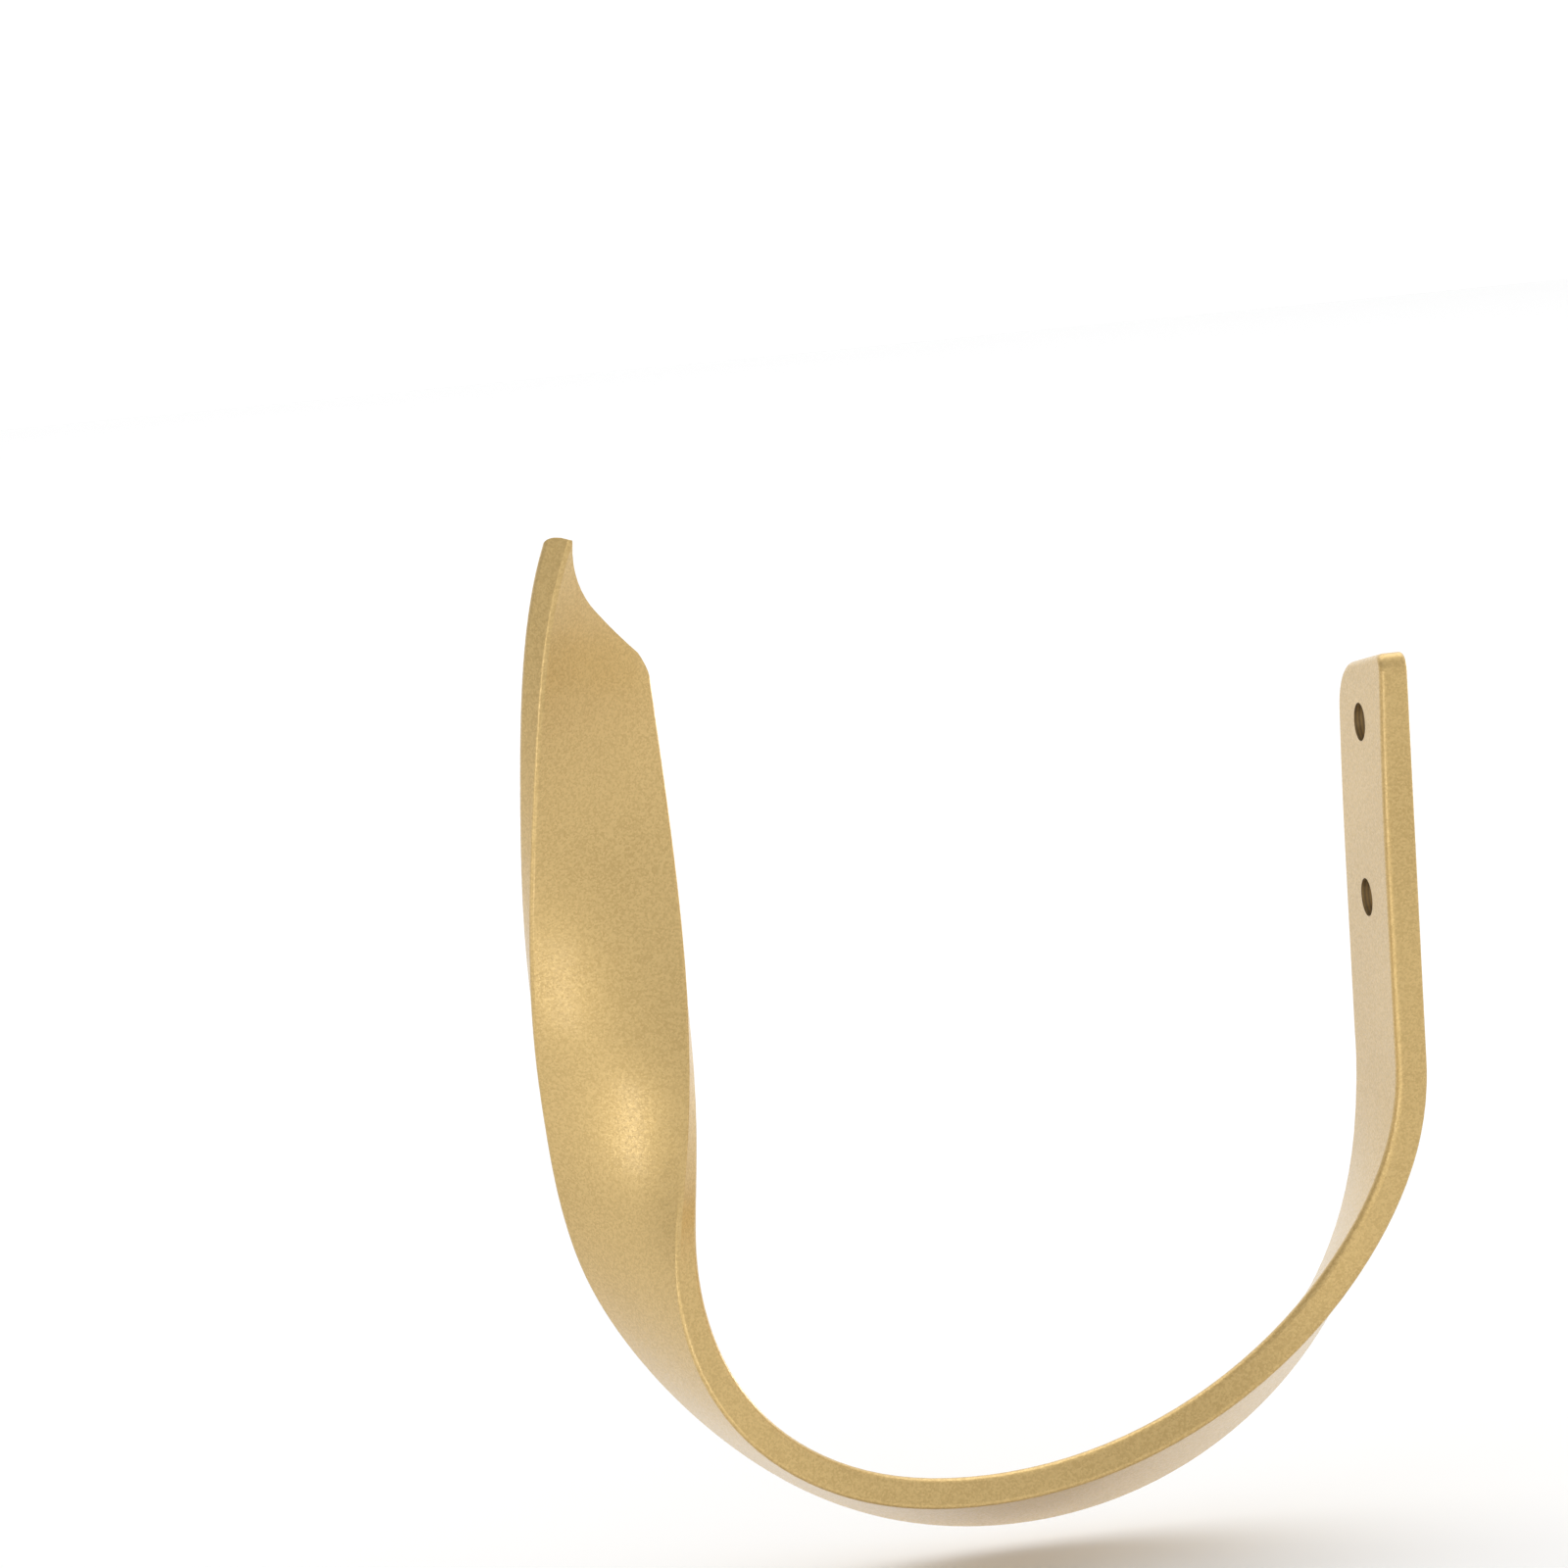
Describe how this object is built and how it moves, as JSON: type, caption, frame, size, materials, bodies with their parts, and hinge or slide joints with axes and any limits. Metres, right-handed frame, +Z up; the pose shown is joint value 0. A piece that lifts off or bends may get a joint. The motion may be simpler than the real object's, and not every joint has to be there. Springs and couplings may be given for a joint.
{
  "type": "curtain holdback",
  "caption": "Curtain holdback: a flat metal bar bent into an open U-shaped hook and twisted, with a flat wall leg drilled for screws and a free arm ending in a slanted, pointed tip.",
  "frame": {"origin": "midway between the two screw holes, on the flat face of the leg that lies against the wall", "axes": "+X points into the wall, +Z is up along the wall leg, +Y runs along the wall to the back of the bar's width"},
  "size_m": [0.1145, 0.0205, 0.1418],
  "materials": {
    "gold_paint": "satin champagne gold with a fine metallic grain"
  },
  "bodies": {
    "root": {"holdback": "gold_paint"}
  },
  "joints": []
}
